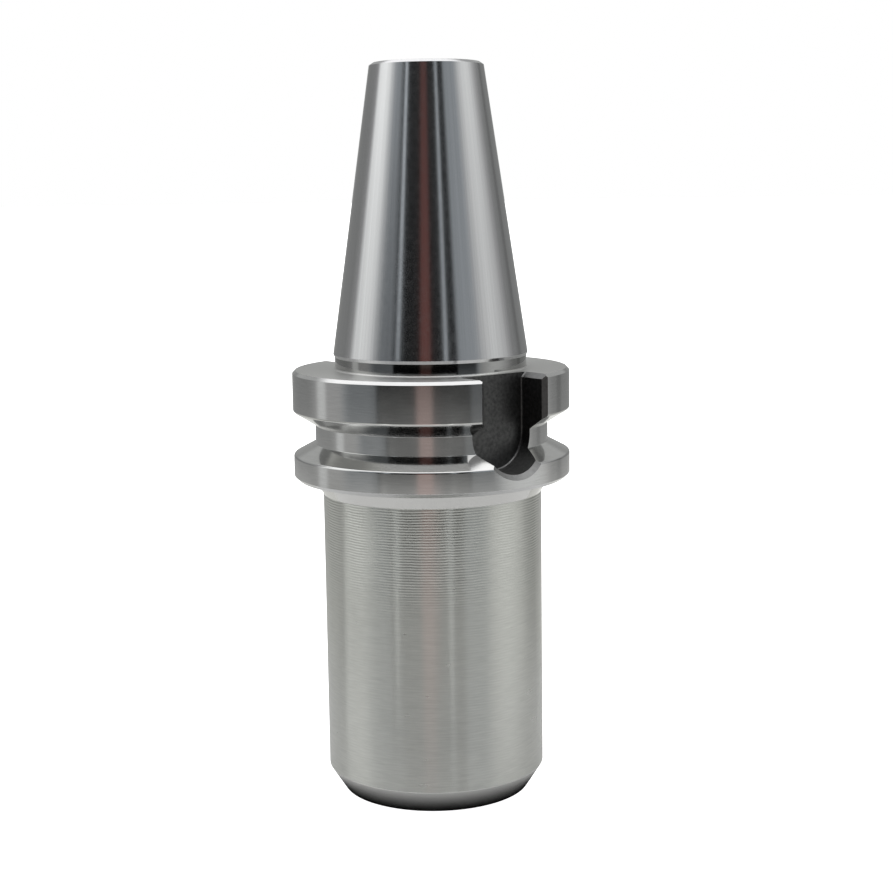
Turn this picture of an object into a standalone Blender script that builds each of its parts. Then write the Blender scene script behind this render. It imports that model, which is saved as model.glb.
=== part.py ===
"""Side lock end mill holder with a size 40, 7/24 taper shank.

Units are metres and +Z is up. The holder stands on its nose face: the origin is the
centre of that face, and +Z runs along the axis to the small end of the taper. The drive
key slots lie on +X and -X, and the two lock screws on -X.
"""

import math

import bmesh
import bpy
from mathutils import Vector

# Lengths along the axis
PROJECTION = 0.100
TAPER_LENGTH = 0.0654
TAPER_START = 0.00105
FLANGE_TOP_DROP = 0.0024
FLANGE_THICKNESS = 0.0248

# Taper shank
GAUGE_DIAMETER = 0.04445
TAPER_RATE = 7 / 24
TAPER_END_CHAMFER_WIDTH = 0.0008
TAPER_END_CHAMFER_LENGTH = 0.0006
RELIEF_DIAMETER = 0.0435
RELIEF_CHAMFER = 0.0007

# Flange and its gripper groove
FLANGE_DIAMETER = 0.063
FLANGE_TOP_CHAMFER = 0.0007
FLANGE_FRONT_CHAMFER = 0.0009
GROOVE_DROP = 0.0166
GROOVE_MOUTH = 0.010
GROOVE_DEPTH = 0.005
GROOVE_FLANK_ANGLE = math.radians(30)
GROOVE_LIP_CHAMFER = 0.0003

# Drive key slots
KEY_SLOT_WIDTH = 0.0161
KEY_SLOT_FLOOR = 0.0226
KEY_SLOT_END_DROP = 0.0235
KEY_SLOT_CHAMFER = 0.0011
KEY_SLOT_AZIMUTHS = (0.0, math.pi)

# Nose
NOSE_DIAMETER = 0.050
NOSE_FACE_DIAMETER = 0.043
NOSE_CHAMFER_LENGTH = 0.0054
SHOULDER_DIAMETER = 0.0542
SHOULDER_LENGTH = 0.0035

# Bore, passage and the tapped hole for the retention knob
BORE_DIAMETER = 0.025
BORE_DEPTH = 0.065
BORE_MOUTH_CHAMFER = 0.001
PASSAGE_DIAMETER = 0.012
KNOB_THREAD_DIAMETER = 0.014
KNOB_THREAD_LENGTH = 0.030
KNOB_PILOT_DIAMETER = 0.017
KNOB_PILOT_DEPTH = 0.008
KNOB_MOUTH_CHAMFER = 0.0006

# Lock screws
SCREW_NAMES = ("lock_screw_front", "lock_screw_rear")
SCREW_DIAMETER = 0.016
SCREW_HOLE_CLEARANCE = 0.0003
SCREW_HOLE_COUNTERSINK = 0.0011
FIRST_SCREW_HEIGHT = 0.024
SCREW_SPACING = 0.025
SCREW_RECESS = 0.0012
SCREW_TIP_SETBACK = 0.0003
SCREW_HEAD_CHAMFER = 0.0012
SCREW_POINT_CHAMFER = 0.0018
SOCKET_ACROSS_FLATS = 0.008
SOCKET_DEPTH = 0.006

# Mesh
BODY_FACETS = 96
SCREW_FACETS = 48
SLOT_ARC_STEPS = 20
CUT_OVERRUN = 0.002
MERGE_DISTANCE = 0.00001
SHARP_ANGLE = math.radians(25)

# Heights and radii that several features share
GAUGE_HEIGHT = PROJECTION
TOP_HEIGHT = GAUGE_HEIGHT + TAPER_LENGTH
FLANGE_TOP_HEIGHT = GAUGE_HEIGHT - FLANGE_TOP_DROP
FLANGE_FRONT_HEIGHT = FLANGE_TOP_HEIGHT - FLANGE_THICKNESS
FLANGE_RADIUS = FLANGE_DIAMETER / 2
NOSE_RADIUS = NOSE_DIAMETER / 2
BORE_RADIUS = BORE_DIAMETER / 2
SCREW_RADIUS = SCREW_DIAMETER / 2
SCREW_HOLE_RADIUS = SCREW_RADIUS + SCREW_HOLE_CLEARANCE


def clear_scene():
    for obj in list(bpy.data.objects):
        bpy.data.objects.remove(obj)


def new_collection(name):
    collection = bpy.data.collections.new(name)
    bpy.context.scene.collection.children.link(collection)
    return collection


def metal(name, color, roughness, metallic=1.0):
    material = bpy.data.materials.new(name)
    material.use_nodes = True
    shader = material.node_tree.nodes["Principled BSDF"]
    shader.inputs["Base Color"].default_value = (*color, 1.0)
    shader.inputs["Roughness"].default_value = roughness
    shader.inputs["Metallic"].default_value = metallic
    return material


def add_object(name, mesh, collection, material):
    obj = bpy.data.objects.new(name, mesh)
    collection.objects.link(obj)
    if not mesh.materials:
        mesh.materials.append(material)
    return obj


def as_cutter(obj):
    """A cutter shows as wire only, and never in a render."""
    obj.hide_render = True
    obj.display_type = "WIRE"
    return obj


def turned_object(name, profile, closed, facets, collection, material):
    """A half section of (radius, height) corners, spun round the object's Z axis."""
    mesh = bpy.data.meshes.new(name)
    corners = [(radius, 0.0, height) for radius, height in profile]
    edges = [(i, i + 1) for i in range(len(corners) - 1)]
    if closed:
        edges.append((len(corners) - 1, 0))
    mesh.from_pydata(corners, edges, [])
    obj = add_object(name, mesh, collection, material)
    spin = obj.modifiers.new("Turn", "SCREW")
    spin.axis = "Z"
    spin.angle = math.tau
    spin.steps = facets
    spin.render_steps = facets
    spin.use_merge_vertices = True
    spin.merge_threshold = MERGE_DISTANCE
    return obj


def cut(obj, cutter, name):
    """Cut faces take the cutter's material."""
    boolean = obj.modifiers.new(name, "BOOLEAN")
    boolean.operation = "DIFFERENCE"
    boolean.solver = "EXACT"
    boolean.material_mode = "TRANSFER"
    boolean.object = cutter


def taper_radius(height):
    return GAUGE_DIAMETER / 2 - (height - GAUGE_HEIGHT) * TAPER_RATE / 2


def flange_surface(offset):
    """Distance from the axis plane to the flange's rim, at a sideways offset from the slot's middle."""
    return math.sqrt(FLANGE_RADIUS**2 - offset**2)


def shank_corners():
    """The outside of the shank, from the rim of its small end down to the flange's top face."""
    start = GAUGE_HEIGHT + TAPER_START
    chamfer_foot = TOP_HEIGHT - TAPER_END_CHAMFER_LENGTH
    return [
        (taper_radius(TOP_HEIGHT) - TAPER_END_CHAMFER_WIDTH, TOP_HEIGHT),
        (taper_radius(chamfer_foot), chamfer_foot),
        (taper_radius(start), start),
        (RELIEF_DIAMETER / 2, start - RELIEF_CHAMFER),
        (RELIEF_DIAMETER / 2, FLANGE_TOP_HEIGHT),
    ]


def groove_corners():
    """The V groove, from its upper lip to its lower lip, with broken edges at the mouth."""
    middle = GAUGE_HEIGHT - GROOVE_DROP
    half_mouth = GROOVE_MOUTH / 2
    half_land = half_mouth - GROOVE_DEPTH * math.tan(GROOVE_FLANK_ANGLE)
    lip_step_in = GROOVE_LIP_CHAMFER * math.cos(GROOVE_FLANK_ANGLE)
    lip_step_down = GROOVE_LIP_CHAMFER * math.sin(GROOVE_FLANK_ANGLE)
    upper = [
        (FLANGE_RADIUS, half_mouth + GROOVE_LIP_CHAMFER),
        (FLANGE_RADIUS - lip_step_in, half_mouth - lip_step_down),
        (FLANGE_RADIUS - GROOVE_DEPTH, half_land),
    ]
    lower = [(radius, -rise) for radius, rise in reversed(upper)]
    return [(radius, middle + rise) for radius, rise in upper + lower]


def flange_corners():
    return [
        (FLANGE_RADIUS - FLANGE_TOP_CHAMFER, FLANGE_TOP_HEIGHT),
        (FLANGE_RADIUS, FLANGE_TOP_HEIGHT - FLANGE_TOP_CHAMFER),
        *groove_corners(),
        (FLANGE_RADIUS, FLANGE_FRONT_HEIGHT + FLANGE_FRONT_CHAMFER),
        (FLANGE_RADIUS - FLANGE_FRONT_CHAMFER, FLANGE_FRONT_HEIGHT),
    ]


def nose_corners():
    """The conical shoulder under the flange, the nose and its front chamfer."""
    return [
        (SHOULDER_DIAMETER / 2, FLANGE_FRONT_HEIGHT),
        (NOSE_RADIUS, FLANGE_FRONT_HEIGHT - SHOULDER_LENGTH),
        (NOSE_RADIUS, NOSE_CHAMFER_LENGTH),
        (NOSE_FACE_DIAMETER / 2, 0.0),
    ]


def inner_corners():
    """The bore, passage and tapped hole, from the nose face up to the small end."""
    passage = PASSAGE_DIAMETER / 2
    thread = KNOB_THREAD_DIAMETER / 2
    pilot = KNOB_PILOT_DIAMETER / 2
    thread_top = TOP_HEIGHT - KNOB_PILOT_DEPTH
    thread_foot = thread_top - KNOB_THREAD_LENGTH
    return [
        (BORE_RADIUS + BORE_MOUTH_CHAMFER, 0.0),
        (BORE_RADIUS, BORE_MOUTH_CHAMFER),
        (BORE_RADIUS, BORE_DEPTH),
        (passage, BORE_DEPTH),
        (passage, thread_foot - (thread - passage)),
        (thread, thread_foot),
        (thread, thread_top),
        (pilot, thread_top),
        (pilot, TOP_HEIGHT - KNOB_MOUTH_CHAMFER),
        (pilot + KNOB_MOUTH_CHAMFER, TOP_HEIGHT),
    ]


def slot_path():
    """Points of one slot's edge with their outward directions, as (sideways, height) pairs.

    The path runs down one side, round the half circle at the slot's end and up the other
    side, and both of its ends stand above the flange.
    """
    half = KEY_SLOT_WIDTH / 2
    arc_height = GAUGE_HEIGHT - KEY_SLOT_END_DROP + half
    above = FLANGE_TOP_HEIGHT + CUT_OVERRUN
    path = [((half, above), (1.0, 0.0))]
    for step in range(SLOT_ARC_STEPS + 1):
        angle = math.pi * step / SLOT_ARC_STEPS
        outward = (math.cos(angle), -math.sin(angle))
        path.append(((half * outward[0], arc_height + half * outward[1]), outward))
    path.append(((-half, above), (-1.0, 0.0)))
    return path


def slot_cutter(collection, material):
    """The slot's milled prism: a flat outline whose top corners flare by the edge chamfer."""
    path = [point for point, _ in slot_path()]
    half = KEY_SLOT_WIDTH / 2
    flare_foot = FLANGE_TOP_HEIGHT - KEY_SLOT_CHAMFER
    flare_top = half + KEY_SLOT_CHAMFER + CUT_OVERRUN
    above = FLANGE_TOP_HEIGHT + CUT_OVERRUN
    outline = [
        (flare_top, above),
        (half, flare_foot),
        *path[1:-1],
        (-half, flare_foot),
        (-flare_top, above),
    ]
    depth = FLANGE_RADIUS + CUT_OVERRUN - KEY_SLOT_FLOOR
    return extruded_outline("key_slot_cutter", outline, KEY_SLOT_FLOOR, depth, collection, material)


def extruded_outline(name, outline, start, depth, collection, material):
    """A closed (Y, Z) outline, extruded along +X from start by depth."""
    curve = bpy.data.curves.new(name, "CURVE")
    curve.dimensions = "2D"
    curve.fill_mode = "BOTH"
    curve.extrude = depth / 2
    spline = curve.splines.new("POLY")
    spline.points.add(len(outline) - 1)
    spline.use_cyclic_u = True
    for point, (sideways, height) in zip(spline.points, outline):
        point.co = (sideways, height, 0.0, 1.0)
    flat = bpy.data.objects.new(name + "_outline", curve)
    collection.objects.link(flat)
    # The curve's X, Y and Z turn into the part's Y, Z and X.
    flat.rotation_euler = (math.pi / 2, 0.0, math.pi / 2)
    flat.location = (start + depth / 2, 0.0, 0.0)
    bpy.context.view_layer.update()
    graph = bpy.context.evaluated_depsgraph_get()
    mesh = bpy.data.meshes.new_from_object(flat.evaluated_get(graph))
    mesh.transform(flat.matrix_world)
    bpy.data.objects.remove(flat)
    weld_closed(mesh)
    mesh.name = name
    mesh.materials.clear()
    return as_cutter(add_object(name, mesh, collection, material))


def weld_closed(mesh):
    """Joins a curve's caps to its sides and turns every face outwards."""
    work = bmesh.new()
    work.from_mesh(mesh)
    bmesh.ops.remove_doubles(work, verts=work.verts, dist=MERGE_DISTANCE)
    bmesh.ops.recalc_face_normals(work, faces=work.faces)
    work.to_mesh(mesh)
    work.free()


def edge_chamfer_cutter(collection, material):
    """Breaks the edge between a slot and the flange's rim by a constant width.

    The rim is round and the slot is flat-sided, so no straight tool shape fits: two rings
    that follow the rim, one inside the slot and one outside the flange, are lofted together.
    """
    work = bmesh.new()
    inner = []
    outer = []
    for (sideways, height), (out_side, out_height) in slot_path():
        wall = Vector((flange_surface(sideways) - KEY_SLOT_CHAMFER, sideways, height))
        rim_side = sideways + out_side * KEY_SLOT_CHAMFER
        rim_height = height + out_height * KEY_SLOT_CHAMFER
        rim = Vector((flange_surface(rim_side), rim_side, rim_height))
        slope = (rim - wall) / KEY_SLOT_CHAMFER
        inner.append(work.verts.new(wall - slope * CUT_OVERRUN / 2))
        outer.append(work.verts.new(rim + slope * CUT_OVERRUN))
    loops = []
    for ring in (inner, outer):
        loops += [work.edges.new((ring[i - 1], ring[i])) for i in range(len(ring))]
    bmesh.ops.bridge_loops(work, edges=loops)
    bmesh.ops.holes_fill(work, edges=work.edges, sides=0)
    bmesh.ops.triangulate(work, faces=work.faces)
    bmesh.ops.recalc_face_normals(work, faces=work.faces)
    mesh = bpy.data.meshes.new("edge_chamfer_cutter")
    work.to_mesh(mesh)
    work.free()
    return as_cutter(add_object("edge_chamfer_cutter", mesh, collection, material))


def turned_copy(cutter, azimuth, name, collection):
    """A copy of a cutter, turned round the holder's axis."""
    copy = as_cutter(bpy.data.objects.new(name, cutter.data))
    copy.rotation_euler = (0.0, 0.0, azimuth)
    collection.objects.link(copy)
    return copy


def cut_key_slots(body, cutters, slot_black, steel):
    prism = slot_cutter(cutters, slot_black)
    chamfer = edge_chamfer_cutter(cutters, steel)
    for index, azimuth in enumerate(KEY_SLOT_AZIMUTHS):
        for tool, label in ((prism, "key_slot"), (chamfer, "key_slot_edge")):
            name = f"{label}_{index + 1}"
            cut(body, turned_copy(tool, azimuth, name + "_tool", cutters), name)


def screw_height(index):
    return FIRST_SCREW_HEIGHT + index * SCREW_SPACING


def sideways_turned(name, profile, reach, height, collection, material):
    """A turned piece laid along -X, its profile's zero height at the given reach."""
    obj = turned_object(name, profile, False, SCREW_FACETS, collection, material)
    obj.rotation_euler = (0.0, -math.pi / 2, 0.0)
    obj.location = (-reach, 0.0, height)
    return obj


def screw_hole_profile():
    """From past the nose's skin, through the countersink, into the bore."""
    skin = CUT_OVERRUN
    depth = NOSE_RADIUS - BORE_RADIUS
    mouth = SCREW_HOLE_RADIUS + SCREW_HOLE_COUNTERSINK
    return [
        (0.0, skin),
        (mouth + skin, skin),
        (SCREW_HOLE_RADIUS, -SCREW_HOLE_COUNTERSINK),
        (SCREW_HOLE_RADIUS, -depth - BORE_RADIUS / 2),
        (0.0, -depth - BORE_RADIUS / 2),
    ]


def cut_screw_holes(body, cutters, steel):
    for index, screw_name in enumerate(SCREW_NAMES):
        name = screw_name + "_hole"
        tool = sideways_turned(
            name, screw_hole_profile(), NOSE_RADIUS, screw_height(index), cutters, steel
        )
        cut(body, as_cutter(tool), name)


def screw_profile():
    """The set screw's half section: chamfered head end, plain shank and flat point."""
    length = NOSE_RADIUS - SCREW_RECESS - BORE_RADIUS - SCREW_TIP_SETBACK
    return [
        (0.0, 0.0),
        (SCREW_RADIUS - SCREW_HEAD_CHAMFER, 0.0),
        (SCREW_RADIUS, -SCREW_HEAD_CHAMFER),
        (SCREW_RADIUS, -length + SCREW_POINT_CHAMFER),
        (SCREW_RADIUS - SCREW_POINT_CHAMFER, -length),
        (0.0, -length),
    ]


def socket_cutter(name, screw, collection, material):
    """The hexagon of the screw's socket, carried by its screw."""
    bpy.ops.mesh.primitive_cylinder_add(
        vertices=6,
        radius=SOCKET_ACROSS_FLATS / math.sqrt(3),
        depth=SOCKET_DEPTH + CUT_OVERRUN,
        location=(0.0, 0.0, (CUT_OVERRUN - SOCKET_DEPTH) / 2),
    )
    hexagon = bpy.context.active_object
    hexagon.name = name
    hexagon.data.name = name
    hexagon.data.materials.append(material)
    for other in list(hexagon.users_collection):
        other.objects.unlink(hexagon)
    collection.objects.link(hexagon)
    hexagon.parent = screw
    return as_cutter(hexagon)


def make_holder_body(parts, cutters, steel, slot_black):
    profile = shank_corners() + flange_corners() + nose_corners() + inner_corners()
    body = turned_object("holder_body", profile, True, BODY_FACETS, parts, steel)
    cut_key_slots(body, cutters, slot_black, steel)
    cut_screw_holes(body, cutters, steel)
    return body


def make_lock_screws(parts, cutters, screw_black):
    screws = []
    for index, name in enumerate(SCREW_NAMES):
        reach = NOSE_RADIUS - SCREW_RECESS
        screw = sideways_turned(
            name, screw_profile(), reach, screw_height(index), parts, screw_black
        )
        cut(screw, socket_cutter(name + "_socket", screw, cutters, screw_black), "socket")
        screws.append(screw)
    return screws


def settle(obj):
    """Applies the modifiers, then shades round faces smooth and keeps real edges sharp."""
    bpy.context.view_layer.update()
    graph = bpy.context.evaluated_depsgraph_get()
    mesh = bpy.data.meshes.new_from_object(obj.evaluated_get(graph))
    obj.modifiers.clear()
    obj.data = mesh
    mesh.name = obj.name
    mesh.shade_smooth()
    mesh.set_sharp_from_angle(angle=SHARP_ANGLE)


def main():
    clear_scene()
    parts = new_collection("side_lock_end_mill_holder")
    cutters = new_collection("cutters")
    steel = metal("ground_steel", (0.56, 0.56, 0.57), 0.28)
    slot_black = metal("blackened_steel", (0.045, 0.045, 0.048), 0.55)
    screw_black = metal("black_oxide_steel", (0.035, 0.035, 0.038), 0.45)
    body = make_holder_body(parts, cutters, steel, slot_black)
    screws = make_lock_screws(parts, cutters, screw_black)
    for obj in (body, *screws):
        settle(obj)


main()
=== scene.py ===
"""Looks of a side lock end mill holder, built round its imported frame.

Units are metres and +Z is up. The holder stands on its nose face at the origin, its taper
points up, the drive key slots lie on +X and -X, and the lock screws on -X.
"""

import math

import bmesh
import bpy
from mathutils import Matrix, Vector


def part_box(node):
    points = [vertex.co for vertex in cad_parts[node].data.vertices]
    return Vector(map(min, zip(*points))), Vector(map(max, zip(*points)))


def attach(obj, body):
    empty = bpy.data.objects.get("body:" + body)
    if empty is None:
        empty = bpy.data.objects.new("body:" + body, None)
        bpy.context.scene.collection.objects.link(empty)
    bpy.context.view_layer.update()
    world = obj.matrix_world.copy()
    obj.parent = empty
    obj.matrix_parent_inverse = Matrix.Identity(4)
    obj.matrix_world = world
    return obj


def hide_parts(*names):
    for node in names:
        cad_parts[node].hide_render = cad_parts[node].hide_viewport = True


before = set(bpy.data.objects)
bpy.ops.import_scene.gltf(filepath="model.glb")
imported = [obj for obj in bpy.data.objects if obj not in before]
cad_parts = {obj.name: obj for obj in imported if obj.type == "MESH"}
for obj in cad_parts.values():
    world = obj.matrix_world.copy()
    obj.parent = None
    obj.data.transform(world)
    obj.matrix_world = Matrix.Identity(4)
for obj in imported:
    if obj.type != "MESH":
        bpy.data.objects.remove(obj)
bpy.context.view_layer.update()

# Camera, solved from the outlines of the taper, flange and key slot
IMAGE_SIDE = 893
FOCAL_LENGTH_PIXELS = 1698.3
SENSOR_WIDTH = 36.0
CAMERA_DISTANCE = 0.38506
CAMERA_HEIGHT = 0.13739
CAMERA_AZIMUTH = math.radians(-36.82)
CAMERA_PITCH = 0.1499
CAMERA_ROLL = -0.0136
CAMERA_YAW = 0.0087

# Heights, from the frame's top face and the size 40 shank
TOP_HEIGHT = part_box("holder_body")[1].z
TAPER_LENGTH = 0.0654
GAUGE_HEIGHT = TOP_HEIGHT - TAPER_LENGTH
TAPER_FOOT = GAUGE_HEIGHT + 0.00105
FLANGE_TOP = GAUGE_HEIGHT - 0.0024
FLANGE_FRONT = FLANGE_TOP - 0.0248
SHOULDER_FOOT = FLANGE_FRONT - 0.0035
NOSE_CHAMFER_TOP = 0.0054
GROOVE_HEIGHT = GAUGE_HEIGHT - 0.0166

# Radii of the outside
FLANGE_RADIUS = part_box("holder_body")[1].y
GAUGE_RADIUS = 0.04445 / 2
TAPER_RATE = 7 / 24
TAPER_END_CHAMFER_WIDTH = 0.0008
TAPER_END_CHAMFER_LENGTH = 0.0006
RELIEF_RADIUS = 0.02175
RELIEF_CHAMFER = 0.0007
FLANGE_TOP_CHAMFER = 0.0007
FLANGE_FRONT_CHAMFER = 0.0009
GROOVE_HALF_MOUTH = 0.005
GROOVE_DEPTH = 0.005
GROOVE_FLANK_ANGLE = math.radians(30)
GROOVE_FLOOR_DROP = 0.00025
SHOULDER_RADIUS = 0.0271
NOSE_RADIUS = 0.025
NOSE_FACE_RADIUS = 0.0215

# Bore, passage and the tapped hole at the small end
BORE_RADIUS = 0.0125
BORE_DEPTH = 0.065
BORE_MOUTH_CHAMFER = 0.001
PASSAGE_RADIUS = 0.006
KNOB_THREAD_RADIUS = 0.007
KNOB_THREAD_LENGTH = 0.030
KNOB_THREAD_PITCH = 0.002
KNOB_THREAD_DEPTH = 0.001
KNOB_THREAD_CHAMFER = 0.0008
KNOB_SLEEVE_RADIUS = 0.0082
KNOB_SLEEVE_GAP = 0.00002
KNOB_PILOT_RADIUS = 0.0085
KNOB_PILOT_DEPTH = 0.008
KNOB_MOUTH_CHAMFER = 0.0006

# Key slots
SLOT_HALF_WIDTH = 0.0161 / 2
SLOT_FLOOR = 0.0226
SLOT_END = GAUGE_HEIGHT - 0.0235
SLOT_CHAMFER = 0.0011
SLOT_FLOOR_FILLET = 0.0004
SLOT_AZIMUTHS = (0.0, math.pi)

# Lock screws and their holes
SCREW_HEIGHTS = {"front": 0.024, "rear": 0.049}
SCREW_RADIUS = 0.008
SCREW_PITCH = 0.002
SCREW_THREAD_DEPTH = 0.0011
SCREW_RECESS = 0.0012
SCREW_TIP_SETBACK = 0.0003
SCREW_HEAD_CHAMFER = 0.0012
SCREW_POINT_CHAMFER = 0.0018
SCREW_HOLE_RADIUS = 0.0083
SCREW_HOLE_COUNTERSINK = 0.0011
SOCKET_ACROSS_FLATS = 0.008
SOCKET_DEPTH = 0.006

# Mesh: counts of facets, how far a cutter reaches past what it cuts, and the angles from
# which corners are rounded and edges stay sharp
BODY_SEGMENTS = 288
THREAD_SEGMENTS = 96
THREAD_RINGS_PER_PITCH = 14
SLOT_ARC_STEPS = 48
SLOT_FILLET_STEPS = 4
ROUNDING_STEPS = 3
OVERRUN = 0.002
WELD_DISTANCE = 0.000001
LEAST_ROUNDED_TURN = 0.02
BODY_SHARP_DEGREES = 24.0
SCREW_SHARP_DEGREES = 30.0
KNOB_THREAD_SHARP_DEGREES = 40.0

# Rounding of the revolved outline's corners
EDGE = 0.00015
SOFT_EDGE = 0.0004
LIP_EDGE = 0.0006

# Finish of each stretch of the outline, as an index into BODY_METALS
TAPER, FLANGE, NOSE, BORE, FACED, GROOVE, LEDGE, NECK = range(8)
BODY_METALS = ("taper", "flange", "nose", "bore", "faced", "groove", "ledge", "neck")

# Thread form, as shares of a half pitch: the flat at the root, and the flank
THREAD_ROOT_FLAT = 0.12
THREAD_FLANK = 0.72

# Turns the blur from round the axis to along it
QUARTER_TURN = 0.25

# Depths of the bumps, and the feed marks' pitch, the heights that they fade over from weak to
# strong, and their strengths at these heights
TAPER_GRAIN_DEPTH = 0.000002
BLACK_GRAIN_DEPTH = 0.000009
FEED_MARK_DEPTH = 0.000016
FEED_MARK_PITCH = 0.0006
FEED_MARK_FADE = (0.040, 0.062)
FEED_MARK_STRENGTHS = (0.3, 1.6)

# Floor that the camera sees, and the table that only the steel mirrors
FLOOR_RADIUS = 20.0
FLOOR_HEIGHT = -0.00005
TABLE_RADIUS = 0.12
TABLE_HEIGHT = -0.00003
# Radii over which the table's painted contact shadow fades from black to its grey
FOOT_SHADE = (NOSE_FACE_RADIUS - 0.0003, NOSE_RADIUS + 0.0015)


def clear_modifiers(obj):
    """Turns an object and its modifiers into one plain mesh."""
    bpy.context.view_layer.update()
    graph = bpy.context.evaluated_depsgraph_get()
    mesh = bpy.data.meshes.new_from_object(obj.evaluated_get(graph))
    obj.modifiers.clear()
    obj.data = mesh
    mesh.name = obj.name


def new_piece(name, work, materials):
    mesh = bpy.data.meshes.new(name)
    work.to_mesh(mesh)
    work.free()
    for material in materials:
        mesh.materials.append(material)
    obj = bpy.data.objects.new(name, mesh)
    bpy.context.scene.collection.objects.link(obj)
    return obj


def add_node(tree, kind, inputs=None, **settings):
    """A shader node whose inputs are values or other nodes' outputs."""
    node = tree.nodes.new(kind)
    for name, value in settings.items():
        setattr(node, name, value)
    for key, value in (inputs or {}).items():
        if isinstance(value, bpy.types.NodeSocket):
            tree.links.new(value, node.inputs[key])
        else:
            node.inputs[key].default_value = value
    return node


def math_node(tree, operation, *values):
    node = add_node(tree, "ShaderNodeMath", operation=operation)
    for index, value in enumerate(values):
        if isinstance(value, bpy.types.NodeSocket):
            tree.links.new(value, node.inputs[index])
        else:
            node.inputs[index].default_value = value
    return node.outputs[0]


def mix_colors(tree, factor, first, second):
    node = add_node(tree, "ShaderNodeMix", data_type="RGBA")
    for index, value in ((0, factor), (6, first), (7, second)):
        if isinstance(value, bpy.types.NodeSocket):
            tree.links.new(value, node.inputs[index])
        elif index:
            node.inputs[index].default_value = (*value, 1.0)
        else:
            node.inputs[index].default_value = value
    return node.outputs[2]


def map_range(tree, value, from_low, from_high, to_low, to_high, smooth=False):
    node = add_node(tree, "ShaderNodeMapRange")
    node.interpolation_type = "SMOOTHSTEP" if smooth else "LINEAR"
    tree.links.new(value, node.inputs["Value"])
    for key, number in zip(
        ("From Min", "From Max", "To Min", "To Max"), (from_low, from_high, to_low, to_high)
    ):
        node.inputs[key].default_value = number
    return node.outputs[0]


def new_metal(name, color, roughness, anisotropy=0.0):
    """A metal that blurs what it mirrors along the holder's axis, as marks round it do."""
    material = bpy.data.materials.new(name)
    material.use_nodes = True
    tree = material.node_tree
    shader = tree.nodes["Principled BSDF"]
    shader.inputs["Base Color"].default_value = (*color, 1.0)
    shader.inputs["Metallic"].default_value = 1.0
    shader.inputs["Roughness"].default_value = roughness
    shader.inputs["Anisotropic"].default_value = anisotropy
    if anisotropy:
        shader.inputs["Anisotropic Rotation"].default_value = QUARTER_TURN
        tangent = add_node(tree, "ShaderNodeTangent", direction_type="RADIAL", axis="Z")
        tree.links.new(tangent.outputs[0], shader.inputs["Tangent"])
    return material


def streak_noise(tree, around, along):
    """Noise with its own scales round the holder's axis and along it, so that it forms streaks."""
    place = add_node(tree, "ShaderNodeTexCoord").outputs["Object"]
    flat = add_node(
        tree, "ShaderNodeVectorMath", {0: place, 1: (1.0, 1.0, 0.0)}, operation="MULTIPLY"
    )
    unit = add_node(tree, "ShaderNodeVectorMath", {0: flat.outputs[0]}, operation="NORMALIZE")
    spread = add_node(
        tree, "ShaderNodeVectorMath", {0: unit.outputs[0], "Scale": around}, operation="SCALE"
    )
    rise = add_node(
        tree, "ShaderNodeVectorMath", {0: place, 1: (0.0, 0.0, along)}, operation="MULTIPLY"
    )
    joined = add_node(tree, "ShaderNodeVectorMath", {0: spread.outputs[0], 1: rise.outputs[0]})
    noise = add_node(
        tree, "ShaderNodeTexNoise", {"Vector": joined.outputs[0], "Scale": 1.0, "Detail": 3.0}
    )
    return noise.outputs[0]


def grain_noise(tree, scale):
    place = add_node(tree, "ShaderNodeTexCoord").outputs["Object"]
    noise = add_node(tree, "ShaderNodeTexNoise", {"Vector": place, "Scale": scale, "Detail": 2.0})
    return noise.outputs[0]


def height_value(tree):
    place = add_node(tree, "ShaderNodeTexCoord").outputs["Object"]
    return add_node(tree, "ShaderNodeSeparateXYZ", {0: place}).outputs[2]


def ring_marks(tree, pitch, wander):
    """A sine along the axis, one wave a feed mark, whose phase wanders a little round the part."""
    phase = math_node(tree, "MULTIPLY", height_value(tree), math.tau / pitch)
    drift = math_node(tree, "MULTIPLY", streak_noise(tree, 3.0, 60.0), wander)
    return math_node(tree, "SINE", math_node(tree, "ADD", phase, drift))


def add_bump(material, height, depth):
    tree = material.node_tree
    bump = add_node(tree, "ShaderNodeBump", {"Height": height, "Distance": depth, "Strength": 1.0})
    tree.links.new(bump.outputs[0], tree.nodes["Principled BSDF"].inputs["Normal"])


def vary(material, socket, amount, low, high):
    """Drives a colour or value socket of the shader from low to high by a 0 to 1 amount."""
    tree = material.node_tree
    target = tree.nodes["Principled BSDF"].inputs[socket]
    if isinstance(low, tuple):
        tree.links.new(mix_colors(tree, amount, low, high), target)
    else:
        tree.links.new(map_range(tree, amount, 0.0, 1.0, low, high), target)


def ground_taper_metal():
    metal = new_metal("ground_taper", (0.6, 0.6, 0.61), 0.2, anisotropy=0.6)
    tree = metal.node_tree
    streaks = streak_noise(tree, 60.0, 12.0)
    vary(metal, "Base Color", streaks, (0.54, 0.54, 0.55), (0.66, 0.66, 0.67))
    vary(metal, "Roughness", grain_noise(tree, 900.0), 0.15, 0.23)
    add_bump(metal, grain_noise(tree, 5000.0), TAPER_GRAIN_DEPTH)
    return metal


def ground_flange_metal():
    metal = new_metal("ground_flange", (0.6, 0.6, 0.6), 0.13, anisotropy=0.1)
    tree = metal.node_tree
    vary(metal, "Base Color", streak_noise(tree, 9.0, 3500.0), (0.54,) * 3, (0.67,) * 3)
    vary(metal, "Roughness", streak_noise(tree, 5.0, 200.0), 0.11, 0.16)
    return metal


def ground_groove_metal():
    metal = new_metal("ground_groove", (0.63, 0.63, 0.62), 0.11)
    streaks = streak_noise(metal.node_tree, 9.0, 3500.0)
    vary(metal, "Base Color", streaks, (0.57, 0.57, 0.565), (0.69, 0.69, 0.68))
    return metal


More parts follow.
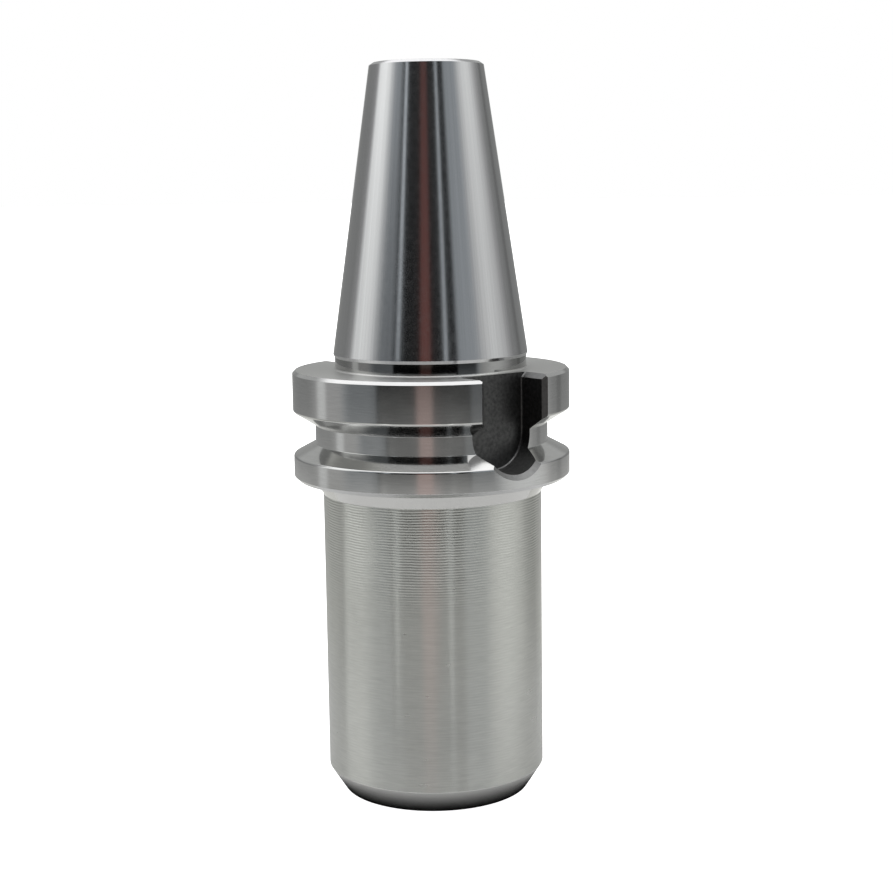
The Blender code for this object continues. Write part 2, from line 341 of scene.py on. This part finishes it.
def turned_nose_metal():
    """The nose, whose feed marks are deep under the flange and fade towards its foot."""
    metal = new_metal("turned_nose", (0.63, 0.635, 0.605), 0.28, anisotropy=1.0)
    tree = metal.node_tree
    streaks = streak_noise(tree, 6.0, 3000.0)
    vary(metal, "Base Color", streaks, (0.54, 0.545, 0.518), (0.72, 0.725, 0.69))
    vary(metal, "Roughness", streak_noise(tree, 4.0, 500.0), 0.26, 0.31)
    height = height_value(tree)
    depth = map_range(tree, height, *FEED_MARK_FADE, *FEED_MARK_STRENGTHS, smooth=True)
    marks = math_node(tree, "MULTIPLY", ring_marks(tree, FEED_MARK_PITCH, 6.0), depth)
    add_bump(metal, marks, FEED_MARK_DEPTH)
    return metal


def faced_metal():
    """The turned faces, cones and chamfers: brighter, with finer marks than the nose."""
    metal = new_metal("faced", (0.72, 0.715, 0.7), 0.16, anisotropy=0.6)
    vary(metal, "Roughness", streak_noise(metal.node_tree, 4.0, 900.0), 0.13, 0.2)
    return metal


def painted_shade_neck_metal():
    """The relief under the taper, with a grey darker than the flange's: painted shade under the
    taper's foot.
    """
    metal = new_metal("ground_neck_painted_shade", (0.36, 0.36, 0.355), 0.08, anisotropy=0.1)
    streaks = streak_noise(metal.node_tree, 9.0, 3500.0)
    vary(metal, "Base Color", streaks, (0.32, 0.32, 0.315), (0.42, 0.42, 0.415))
    return metal


def turned_ledge_metal():
    """The flange's top face, turned and left duller than its ground rim."""
    metal = new_metal("turned_ledge", (0.62, 0.62, 0.61), 0.36, anisotropy=0.4)
    vary(metal, "Roughness", streak_noise(metal.node_tree, 4.0, 900.0), 0.33, 0.4)
    return metal


def honed_bore_metal():
    metal = new_metal("honed_bore", (0.5, 0.5, 0.5), 0.25, anisotropy=0.5)
    vary(metal, "Roughness", grain_noise(metal.node_tree, 900.0), 0.2, 0.32)
    return metal


def painted_top_light_mask(tree):
    """How far a face looks up: 0 on a wall, 1 on a floor. It masks the light painted onto faces
    that look up.
    """
    normal = add_node(tree, "ShaderNodeNewGeometry").outputs["Normal"]
    height = add_node(tree, "ShaderNodeSeparateXYZ", {0: normal}).outputs["Z"]
    return map_range(tree, height, 0.1, 0.8, 0.0, 1.0, smooth=True)


def color_by_facing_with_painted_light(metal, grain_scale, wall, ledge):
    """Mottled greys, wall's two on upright faces and ledge's two on faces that look up. Where
    ledge's greys are lighter, they are light painted from above onto those faces.
    """
    tree = metal.node_tree
    grain = grain_noise(tree, grain_scale)
    shaded_and_lit_greys = [mix_colors(tree, grain, (low,) * 3, (high,) * 3) for low, high in (wall, ledge)]
    # Painted light: faces that look up take the ledge's greys, upright faces the wall's.
    tint = mix_colors(tree, painted_top_light_mask(tree), *shaded_and_lit_greys)
    tree.links.new(tint, tree.nodes["Principled BSDF"].inputs["Base Color"])
    add_bump(metal, grain_noise(tree, 2500.0), BLACK_GRAIN_DEPTH)


def milled_edge_metal():
    metal = new_metal("milled_edge", (0.2, 0.2, 0.2), 0.5)
    # Painted light from above: the chamfer's faces that look up get lighter greys than its upright
    # faces.
    color_by_facing_with_painted_light(metal, 1500.0, (0.08, 0.15), (0.26, 0.38))
    return metal


def blackened_slot_metal():
    metal = new_metal("blackened_slot", (0.08, 0.08, 0.08), 0.42)
    # Painted light from above: the slot's end wall and other faces that look up get lighter greys
    # than its upright walls and floor.
    color_by_facing_with_painted_light(metal, 1400.0, (0.028, 0.14), (0.14, 0.34))
    return metal


def black_oxide_metal():
    metal = new_metal("black_oxide_screw", (0.08, 0.08, 0.08), 0.35)
    color_by_facing_with_painted_light(metal, 1400.0, (0.03, 0.14), (0.03, 0.14))
    return metal


def ring_point(radius, step, segments, height):
    angle = math.tau * step / segments
    return (radius * math.cos(angle), radius * math.sin(angle), height)


def join_rings(work, ring, following, finish=0):
    """Quads between two rings of vertices."""
    for step in range(len(ring)):
        other = (step + 1) % len(ring)
        face = work.faces.new((ring[step], following[step], following[other], ring[other]))
        face.material_index = finish


def corner_rounding(before, corner, after, radius):
    """Points of an arc that rounds a corner, or the corner itself where the radius is 0."""
    into = (before - corner).normalized()
    out = (after - corner).normalized()
    turn = math.pi - into.angle(out)
    if radius == 0.0 or turn < LEAST_ROUNDED_TURN:
        return [corner]
    setback = radius * math.tan(turn / 2)
    first = corner + into * setback
    last = corner + out * setback
    middle = corner + (into + out).normalized() * (radius / math.cos(turn / 2))
    start = first - middle
    sweep = start.angle_signed(last - middle)
    points = []
    for step in range(ROUNDING_STEPS + 1):
        arm = start.copy()
        arm.rotate(Matrix.Rotation(-sweep * step / ROUNDING_STEPS, 2))
        points.append(middle + arm)
    return points


def revolved(name, outline, materials, segments):
    """A closed outline of (radius, height, rounding, finish) corners, spun round the Z axis.

    The finish is the index of the material from that corner to the next.
    """
    flat = [Vector((radius, height)) for radius, height, _, _ in outline]
    points = []
    for index, (_, _, rounding, finish) in enumerate(outline):
        before = flat[index - 1]
        after = flat[(index + 1) % len(flat)]
        for point in corner_rounding(before, flat[index], after, rounding):
            points.append((point, finish))
    work = bmesh.new()
    rings = [
        [work.verts.new(ring_point(point.x, step, segments, point.y)) for step in range(segments)]
        for point, _ in points
    ]
    for index, (_, finish) in enumerate(points):
        join_rings(work, rings[index], rings[(index + 1) % len(rings)], finish)
    bmesh.ops.recalc_face_normals(work, faces=work.faces)
    return new_piece(name, work, materials)


def taper_radius(height):
    return GAUGE_RADIUS - (height - GAUGE_HEIGHT) * TAPER_RATE / 2


def body_outline():
    chamfer_foot = TOP_HEIGHT - TAPER_END_CHAMFER_LENGTH
    half_land = GROOVE_HALF_MOUTH - GROOVE_DEPTH * math.tan(GROOVE_FLANK_ANGLE)
    groove_radius = FLANGE_RADIUS - GROOVE_DEPTH
    groove_middle = GROOVE_HEIGHT - GROOVE_FLOOR_DROP
    thread_top = TOP_HEIGHT - KNOB_PILOT_DEPTH
    thread_foot = thread_top - KNOB_THREAD_LENGTH
    return [
        (taper_radius(TOP_HEIGHT) - TAPER_END_CHAMFER_WIDTH, TOP_HEIGHT, EDGE, TAPER),
        (taper_radius(chamfer_foot), chamfer_foot, EDGE, TAPER),
        (taper_radius(TAPER_FOOT), TAPER_FOOT, EDGE, TAPER),
        (RELIEF_RADIUS, TAPER_FOOT - RELIEF_CHAMFER, EDGE, NECK),
        (RELIEF_RADIUS, FLANGE_TOP, SOFT_EDGE, LEDGE),
        (FLANGE_RADIUS - FLANGE_TOP_CHAMFER, FLANGE_TOP, EDGE, FLANGE),
        (FLANGE_RADIUS, FLANGE_TOP - FLANGE_TOP_CHAMFER, EDGE, FLANGE),
        (FLANGE_RADIUS, GROOVE_HEIGHT + GROOVE_HALF_MOUTH, LIP_EDGE, GROOVE),
        (groove_radius, groove_middle + half_land, EDGE, FLANGE),
        (groove_radius, groove_middle - half_land, EDGE, GROOVE),
        (FLANGE_RADIUS, GROOVE_HEIGHT - GROOVE_HALF_MOUTH, LIP_EDGE, FLANGE),
        (FLANGE_RADIUS, FLANGE_FRONT + FLANGE_FRONT_CHAMFER, EDGE, FLANGE),
        (FLANGE_RADIUS - FLANGE_FRONT_CHAMFER, FLANGE_FRONT, EDGE, FLANGE),
        (SHOULDER_RADIUS, FLANGE_FRONT, EDGE, FACED),
        (NOSE_RADIUS, SHOULDER_FOOT, SOFT_EDGE, NOSE),
        (NOSE_RADIUS, NOSE_CHAMFER_TOP, SOFT_EDGE, FACED),
        (NOSE_FACE_RADIUS, 0.0, EDGE, FACED),
        (BORE_RADIUS + BORE_MOUTH_CHAMFER, 0.0, EDGE, BORE),
        (BORE_RADIUS, BORE_MOUTH_CHAMFER, EDGE, BORE),
        (BORE_RADIUS, BORE_DEPTH, 0.0, BORE),
        (PASSAGE_RADIUS, BORE_DEPTH, EDGE, BORE),
        (PASSAGE_RADIUS, thread_foot - (KNOB_THREAD_RADIUS - PASSAGE_RADIUS), 0.0, BORE),
        (KNOB_THREAD_RADIUS, thread_foot, 0.0, BORE),
        (KNOB_SLEEVE_RADIUS, thread_foot, 0.0, BORE),
        (KNOB_SLEEVE_RADIUS, thread_top, 0.0, BORE),
        (KNOB_PILOT_RADIUS, thread_top, 0.0, BORE),
        (KNOB_PILOT_RADIUS, TOP_HEIGHT - KNOB_MOUTH_CHAMFER, EDGE, BORE),
        (KNOB_PILOT_RADIUS + KNOB_MOUTH_CHAMFER, TOP_HEIGHT, EDGE, TAPER),
    ]


def slot_path():
    """Points of a slot's edge with their outward directions, as (sideways, height) pairs."""
    arc_height = SLOT_END + SLOT_HALF_WIDTH
    above = FLANGE_TOP + OVERRUN
    path = [((SLOT_HALF_WIDTH, above), (1.0, 0.0))]
    for step in range(SLOT_ARC_STEPS + 1):
        angle = math.pi * step / SLOT_ARC_STEPS
        outward = (math.cos(angle), -math.sin(angle))
        place = (SLOT_HALF_WIDTH * outward[0], arc_height + SLOT_HALF_WIDTH * outward[1])
        path.append((place, outward))
    path.append(((-SLOT_HALF_WIDTH, above), (-1.0, 0.0)))
    return path


def slot_tool(metals):
    """The slot's prism, with a fillet between its floor and its walls and a flare at the top."""
    flare_foot = FLANGE_TOP - SLOT_CHAMFER
    flare_top = SLOT_HALF_WIDTH + SLOT_CHAMFER + OVERRUN
    above = FLANGE_TOP + OVERRUN
    outline = [(flare_top, above), (SLOT_HALF_WIDTH, flare_foot)]
    outline += [place for place, _ in slot_path()[1:-1]]
    outline += [(-SLOT_HALF_WIDTH, flare_foot), (-flare_top, above)]
    work = bmesh.new()
    corners = [work.verts.new((SLOT_FLOOR, side, height)) for side, height in outline]
    floor = work.faces.new(corners)
    raised = bmesh.ops.extrude_face_region(work, geom=[floor])["geom"]
    moved = [item for item in raised if isinstance(item, bmesh.types.BMVert)]
    bmesh.ops.translate(work, verts=moved, vec=(FLANGE_RADIUS + OVERRUN - SLOT_FLOOR, 0.0, 0.0))
    rim = [
        edge
        for edge in work.edges
        if all(vert.co.x < SLOT_FLOOR + OVERRUN / 2 for vert in edge.verts)
    ]
    bmesh.ops.bevel(
        work,
        geom=rim,
        offset=SLOT_FLOOR_FILLET,
        segments=SLOT_FILLET_STEPS,
        profile=0.5,
        affect="EDGES",
    )
    bmesh.ops.recalc_face_normals(work, faces=work.faces)
    for face in work.faces:
        if abs(face.normal.y) > 0.5 and face.calc_center_median().z > flare_foot:
            face.material_index = 1
    return new_piece("slot_tool", work, [metals["slot"], metals["milled"]])


def slot_edge_tool(metals):
    """The cutter of the slot's edge chamfer, lofted between two rings that follow the rim."""
    work = bmesh.new()
    inner = []
    outer = []
    for (side, height), (out_side, out_height) in slot_path():
        wall = Vector((math.sqrt(FLANGE_RADIUS**2 - side**2) - SLOT_CHAMFER, side, height))
        rim_side = side + out_side * SLOT_CHAMFER
        rim_height = height + out_height * SLOT_CHAMFER
        rim = Vector((math.sqrt(FLANGE_RADIUS**2 - rim_side**2), rim_side, rim_height))
        slope = (rim - wall) / SLOT_CHAMFER
        inner.append(work.verts.new(wall - slope * OVERRUN / 2))
        outer.append(work.verts.new(rim + slope * OVERRUN))
    loops = []
    for ring in (inner, outer):
        loops += [work.edges.new((ring[i - 1], ring[i])) for i in range(len(ring))]
    bmesh.ops.bridge_loops(work, edges=loops)
    bmesh.ops.holes_fill(work, edges=work.edges, sides=0)
    bmesh.ops.triangulate(work, faces=work.faces)
    bmesh.ops.recalc_face_normals(work, faces=work.faces)
    return new_piece("slot_edge_tool", work, [metals["milled"]])


def sideways(height, reach):
    """Places a piece that was made along +Z so that it points along -X at a height."""
    return Matrix.Translation((-reach, 0.0, height)) @ Matrix.Rotation(-math.pi / 2, 4, "Y")


def screw_hole_tool(height, material):
    mouth = SCREW_HOLE_RADIUS + SCREW_HOLE_COUNTERSINK
    deep = -(NOSE_RADIUS - BORE_RADIUS / 2)
    outline = [
        (0.0, deep, 0.0, 0),
        (SCREW_HOLE_RADIUS, deep, 0.0, 0),
        (SCREW_HOLE_RADIUS, -SCREW_HOLE_COUNTERSINK, 0.0, 0),
        (mouth + OVERRUN, OVERRUN, 0.0, 0),
        (0.0, OVERRUN, 0.0, 0),
    ]
    tool = revolved("screw_hole_tool", outline, [material], THREAD_SEGMENTS)
    work = bmesh.new()
    work.from_mesh(tool.data)
    bmesh.ops.remove_doubles(work, verts=work.verts, dist=WELD_DISTANCE)
    bmesh.ops.recalc_face_normals(work, faces=work.faces)
    work.to_mesh(tool.data)
    work.free()
    tool.matrix_world = sideways(height, NOSE_RADIUS)
    return tool


def cut(obj, tool, turn=0.0):
    if turn:
        tool.matrix_world = Matrix.Rotation(turn, 4, "Z") @ tool.matrix_world
    modifier = obj.modifiers.new("Cut", "BOOLEAN")
    modifier.operation = "DIFFERENCE"
    modifier.solver = "EXACT"
    modifier.material_mode = "TRANSFER"
    modifier.object = tool
    clear_modifiers(obj)


def finish_shading(obj, sharp_degrees):
    obj.data.shade_smooth()
    obj.data.set_sharp_from_angle(angle=math.radians(sharp_degrees))
    modifier = obj.modifiers.new("Weighted normals", "WEIGHTED_NORMAL")
    modifier.keep_sharp = True
    modifier.weight = 80
    clear_modifiers(obj)


def make_body(metals):
    body = revolved(
        "machined_body",
        body_outline(),
        [metals[key] for key in BODY_METALS],
        BODY_SEGMENTS,
    )
    for azimuth in SLOT_AZIMUTHS:
        for make_tool in (slot_tool, slot_edge_tool):
            tool = make_tool(metals)
            cut(body, tool, azimuth)
            bpy.data.objects.remove(tool)
    for height in SCREW_HEIGHTS.values():
        tool = screw_hole_tool(height, metals["nose"])
        cut(body, tool)
        bpy.data.objects.remove(tool)
    finish_shading(body, BODY_SHARP_DEGREES)
    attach(body, "root")
    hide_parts("holder_body")


def thread_wave(turns):
    """Height of a rounded 60 degree thread form over one pitch: 0 at the root, 1 at the crest."""
    share = abs((turns % 1.0) * 2 - 1)
    return min(1.0, max(0.0, (share - THREAD_ROOT_FLAT) / THREAD_FLANK))


def threaded_rod(name, radius, length, metal):
    """A set screw's threaded outside, its head end at zero height and its point below."""
    steps = round(length / SCREW_PITCH * THREAD_RINGS_PER_PITCH)
    work = bmesh.new()
    rings = []
    for level in range(steps + 1):
        depth = length * level / steps
        head = radius - max(0.0, SCREW_HEAD_CHAMFER - depth)
        point = radius - max(0.0, SCREW_POINT_CHAMFER - (length - depth))
        ring = []
        for step in range(THREAD_SEGMENTS):
            wave = thread_wave(depth / SCREW_PITCH + step / THREAD_SEGMENTS)
            reach = min(radius - SCREW_THREAD_DEPTH * (1.0 - wave), head, point)
            ring.append(work.verts.new(ring_point(reach, step, THREAD_SEGMENTS, -depth)))
        rings.append(ring)
    for upper, lower in zip(rings, rings[1:]):
        join_rings(work, upper, lower)
    work.faces.new(rings[0])
    work.faces.new(rings[-1])
    bmesh.ops.recalc_face_normals(work, faces=work.faces)
    return new_piece(name, work, [metal])


def make_knob_thread(metal):
    """The retention knob's tapped thread, a sleeve whose outside is hidden in the body."""
    top = TOP_HEIGHT - KNOB_PILOT_DEPTH
    foot = top - KNOB_THREAD_LENGTH
    steps = round(KNOB_THREAD_LENGTH / KNOB_THREAD_PITCH * THREAD_RINGS_PER_PITCH)
    work = bmesh.new()
    rings = []
    for level in range(-1, steps + 2):
        height = foot + KNOB_THREAD_LENGTH * min(max(level, 0), steps) / steps
        ring = []
        for step in range(THREAD_SEGMENTS):
            wave = thread_wave(height / KNOB_THREAD_PITCH - step / THREAD_SEGMENTS)
            cut_radius = KNOB_THREAD_RADIUS + KNOB_THREAD_DEPTH * (1.0 - wave)
            reach = max(cut_radius, KNOB_THREAD_RADIUS + KNOB_THREAD_CHAMFER - (top - height))
            if not 0 <= level <= steps:
                reach = KNOB_SLEEVE_RADIUS - KNOB_SLEEVE_GAP
            ring.append(work.verts.new(ring_point(reach, step, THREAD_SEGMENTS, height)))
        rings.append(ring)
    for index, ring in enumerate(rings):
        join_rings(work, ring, rings[(index + 1) % len(rings)])
    bmesh.ops.recalc_face_normals(work, faces=work.faces)
    thread = new_piece("knob_thread", work, [metal])
    finish_shading(thread, KNOB_THREAD_SHARP_DEGREES)
    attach(thread, "root")


def socket_tool(metal):
    """The hexagon prism of a screw's socket."""
    corner = SOCKET_ACROSS_FLATS / math.sqrt(3)
    work = bmesh.new()
    bmesh.ops.create_cone(
        work,
        cap_ends=True,
        segments=6,
        radius1=corner,
        radius2=corner,
        depth=SOCKET_DEPTH + OVERRUN,
        matrix=Matrix.Translation((0.0, 0.0, (OVERRUN - SOCKET_DEPTH) / 2)),
    )
    return new_piece("socket_tool", work, [metal])


def socket_mouth_tool(metal):
    """The cone that breaks the socket's corners."""
    corner = SOCKET_ACROSS_FLATS / math.sqrt(3)
    work = bmesh.new()
    bmesh.ops.create_cone(
        work,
        cap_ends=True,
        segments=THREAD_SEGMENTS,
        radius1=corner - OVERRUN,
        radius2=corner + OVERRUN,
        depth=2 * OVERRUN,
    )
    return new_piece("socket_mouth_tool", work, [metal])


def make_screw(place, height, metal):
    length = NOSE_RADIUS - SCREW_RECESS - BORE_RADIUS - SCREW_TIP_SETBACK
    screw = threaded_rod("set_screw_" + place, SCREW_RADIUS, length, metal)
    for make_tool in (socket_tool, socket_mouth_tool):
        tool = make_tool(metal)
        cut(screw, tool)
        bpy.data.objects.remove(tool)
    screw.data.transform(sideways(height, NOSE_RADIUS - SCREW_RECESS))
    finish_shading(screw, SCREW_SHARP_DEGREES)
    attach(screw, "root")
    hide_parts("lock_screw_" + place)


# Tints of the light, as multiples of red, green and blue
NEUTRAL = (1.0, 1.0, 1.0)
COOL = (0.93, 1.0, 1.05)
LAMP = (0.985, 1.0, 0.985)
PAPER = (0.995, 1.0, 0.965)
RED = (2.0, 0.8, 0.7)
PINK = (1.1, 0.98, 0.935)
ROSE = (1.25, 0.96, 0.88)

# Soft boxes, strips and dark cards round the holder, as a photographer sets them up. Angles are
# in degrees: the azimuth is 0 at the camera and grows to its right, and the elevation is 0 level
# with the holder. Each card covers those before it.
# name: (left edge, its softness, right edge, its softness, foot, top, their softness, level, tint)
STUDIO_CARDS = {
    "table": (-360, 1, 360, 1, -100, -8.8, 6, 0.66, PAPER),
    "table_near": (-360, 1, 360, 1, -120, -55, 14, 0.88, PAPER),
    "table_left": (-118, 20, -74, 20, -100, -8.8, 6, 0.40, PAPER),
    "table_right": (67, 20, 110, 24, -100, -8.6, 6, 0.70, PAPER),
    "table_seam": (116, 12, 142, 14, -100, -8.8, 6, 0.53, PAPER),
    "table_back": (160, 14, 190, 14, -100, -8.6, 6, 0.9, PAPER),
    "back_shade": (112, 20, 248, 20, -9.3, 14, 6, 0.26, LAMP),
    "back_high": (108, 12, 232, 12, 14, 60, 6, 0.47, LAMP),
    "back_glow": (163, 12, 200, 12, -8.6, 16, 6, 0.34, LAMP),
    "seam": (126, 3, 135, 3, -8.6, 16, 6, 0.18, LAMP),
    "grey_left": (-75, 14, -44, 2, -9.2, 60, 6, 0.41, COOL),
    "grey_left_foot": (-75, 14, -44, 2, -9.2, 15, 6, 0.17, COOL),
    "gap_left": (-50, 4, -43, 2, -9.2, 60, 6, 0.17, COOL),
    "grey_right": (31, 3, 62, 12, -9.2, 60, 6, 0.36, COOL),
    "dark_corner": (30, 3, 57, 8, -9.0, -3, 6, 0.05, COOL),
    "dark_room": (-45, 3, 32, 3, -8.8, 36, 6, 0.018, COOL),
    "dark_room_foot": (-45, 3, 32, 3, -8.8, 12, 8, 0.002, COOL),
    "soft_box_left": (-106, 9, -74, 30, -1, 56, 3, 0.95, LAMP),
    "soft_box_left_top": (-106, 9, -74, 32, 13, 56, 14, 1.42, LAMP),
    "box_left_foot": (-107, 6, -96, 4, -12, -1, 3, 0.70, LAMP),
    "soft_box_right": (67, 30, 100, 30, -12, 56, 4, 0.76, LAMP),
    "soft_box_right_top": (67, 30, 101, 30, 15, 56, 14, 1.08, LAMP),
    "strip_left": (-41.5, 2, -37, 2, 9, 40, 14, 0.85, COOL),
    "strip_left_foot": (-41, 1.5, -38, 1.5, -80, -12, 2, 1.5, PAPER),
    "strip_right": (16.3, 2, 19.8, 2, 2, 40, 4, 0.72, COOL),
    "strip_right_foot": (16.2, 1.5, 18.8, 1.5, -80, -12, 2, 1.4, PAPER),
    "red_stripe": (-12, 3, 0, 3, -4, 22, 4, 0.08, RED),
    "red_stripe_foot": (-12, 4, 1, 4, -12, -6.5, 3, 0.34, ROSE),
    "red_stripe_table": (-13, 6, 7, 6, -40, -11, 4, 0.77, PINK),
    "ceiling": (-360, 1, 360, 1, 50, 130, 10, 1.5, NEUTRAL),
    "ceiling_left": (-175, 10, -100, 10, 38, 70, 12, 1.5, NEUTRAL),
}
FULL_TURN = 360
SURROUND_LEVEL = 0.38
TABLE_LEVEL = 0.74


def soft_step(tree, value, edge, softness, low, high):
    """A smooth step from low to high across an edge, in degrees."""
    return map_range(
        tree,
        value,
        math.radians(edge - softness / 2),
        math.radians(edge + softness / 2),
        low,
        high,
        smooth=True,
    )


def lay_card(tree, azimuth, elevation, beneath, card):
    """One card of the studio over what lies beneath it."""
    left, left_softness, right, right_softness, foot, top, softness, level, tint = card
    up = soft_step(tree, elevation, foot, softness, 0.0, 1.0)
    down = soft_step(tree, elevation, top, softness, 1.0, 0.0)
    cover = math_node(tree, "MULTIPLY", up, down)
    if right - left < FULL_TURN:
        middle = (left + right) / 2
        offset = math_node(tree, "SUBTRACT", azimuth, math.radians(middle))
        wrapped = math_node(tree, "WRAP", offset, math.pi, -math.pi)
        rise = soft_step(tree, wrapped, left - middle, left_softness, 0.0, 1.0)
        fall = soft_step(tree, wrapped, right - middle, right_softness, 1.0, 0.0)
        cover = math_node(tree, "MULTIPLY", cover, math_node(tree, "MULTIPLY", rise, fall))
    return mix_colors(tree, cover, beneath, tuple(level * part for part in tint))


def make_studio():
    world = bpy.data.worlds.new("studio")
    world.use_nodes = True
    bpy.context.scene.world = world
    tree = world.node_tree
    tree.nodes.clear()
    direction = add_node(tree, "ShaderNodeTexCoord").outputs["Generated"]
    parts = add_node(tree, "ShaderNodeSeparateXYZ", {0: direction}).outputs
    heading = math_node(tree, "ARCTAN2", parts[1], parts[0])
    azimuth = math_node(tree, "SUBTRACT", heading, CAMERA_AZIMUTH)
    elevation = math_node(tree, "ARCSINE", parts[2])
    light = (SURROUND_LEVEL,) * 3
    for card in STUDIO_CARDS.values():
        light = lay_card(tree, azimuth, elevation, light, card)
    seen = add_node(tree, "ShaderNodeLightPath").outputs["Is Camera Ray"]
    shown = mix_colors(tree, seen, light, (1.0, 1.0, 1.0))
    background = add_node(tree, "ShaderNodeBackground", {"Color": shown, "Strength": 1.0})
    output = add_node(tree, "ShaderNodeOutputWorld")
    tree.links.new(background.outputs[0], output.inputs["Surface"])


def floor_paint(name, level):
    material = bpy.data.materials.new(name)
    material.use_nodes = True
    shader = material.node_tree.nodes["Principled BSDF"]
    shader.inputs["Roughness"].default_value = 0.9
    shader.inputs["Specular IOR Level"].default_value = 0.0
    shader.inputs["Base Color"].default_value = (level, level, level, 1.0)
    return material


def glowing_floor_paint():
    """The white of a floor that is lit from below, as on a light table."""
    material = floor_paint("pale_floor", 0.9)
    tree = material.node_tree
    shader = tree.nodes["Principled BSDF"]
    shader.inputs["Emission Color"].default_value = (1.0, 1.0, 1.0, 1.0)
    shader.inputs["Emission Strength"].default_value = 1.0
    tone = mix_colors(tree, grain_noise(tree, 3.0), (0.88,) * 3, (0.9,) * 3)
    tree.links.new(tone, shader.inputs["Base Color"])
    return material


def table_paint():
    """Grey with a painted contact shadow that darkens it to black under the holder's foot."""
    material = floor_paint("table_top", TABLE_LEVEL)
    tree = material.node_tree
    place = add_node(tree, "ShaderNodeTexCoord").outputs["Object"]
    reach = add_node(tree, "ShaderNodeVectorMath", {0: place}, operation="LENGTH").outputs["Value"]
    amount = map_range(tree, reach, *FOOT_SHADE, 0.0, 1.0, smooth=True)
    vary(material, "Base Color", amount, (0.0, 0.0, 0.0), (TABLE_LEVEL,) * 3)
    return material


def make_disc(name, radius, height, material):
    work = bmesh.new()
    bmesh.ops.create_circle(work, cap_ends=True, segments=128, radius=radius)
    bmesh.ops.translate(work, verts=work.verts, vec=(0.0, 0.0, height))
    disc = new_piece(name, work, [material])
    return disc


def make_floor():
    """A lit white floor that the camera sees, and a greyer one that only the steel reflects."""
    floor = make_disc("floor", FLOOR_RADIUS, FLOOR_HEIGHT, glowing_floor_paint())
    floor.visible_glossy = False
    floor.visible_diffuse = False
    table = make_disc("table", TABLE_RADIUS, TABLE_HEIGHT, table_paint())
    table.visible_camera = False
    table.visible_diffuse = False
    table.visible_shadow = False


def make_camera():
    data = bpy.data.cameras.new("camera")
    data.sensor_width = SENSOR_WIDTH
    data.lens = FOCAL_LENGTH_PIXELS * SENSOR_WIDTH / IMAGE_SIDE
    data.clip_start = 0.01
    data.clip_end = 50.0
    camera = bpy.data.objects.new("camera", data)
    bpy.context.scene.collection.objects.link(camera)
    across = CAMERA_DISTANCE * math.cos(CAMERA_AZIMUTH)
    along = CAMERA_DISTANCE * math.sin(CAMERA_AZIMUTH)
    place = Vector((across, along, CAMERA_HEIGHT))
    turn = (
        Matrix.Rotation(CAMERA_AZIMUTH + math.pi / 2 - CAMERA_YAW, 4, "Z")
        @ Matrix.Rotation(math.pi / 2 - CAMERA_PITCH, 4, "X")
        @ Matrix.Rotation(CAMERA_ROLL, 4, "Z")
    )
    camera.matrix_world = Matrix.Translation(place) @ turn
    bpy.context.scene.camera = camera


def main():
    metals = {
        "taper": ground_taper_metal(),
        "flange": ground_flange_metal(),
        "nose": turned_nose_metal(),
        "faced": faced_metal(),
        "groove": ground_groove_metal(),
        "ledge": turned_ledge_metal(),
        "neck": painted_shade_neck_metal(),
        "milled": milled_edge_metal(),
        "bore": honed_bore_metal(),
        "slot": blackened_slot_metal(),
        "screw": black_oxide_metal(),
    }
    make_body(metals)
    make_knob_thread(metals["bore"])
    for place, height in SCREW_HEIGHTS.items():
        make_screw(place, height, metals["screw"])
    make_floor()
    make_studio()
    make_camera()
    bpy.context.scene.view_settings.view_transform = "Standard"


main()
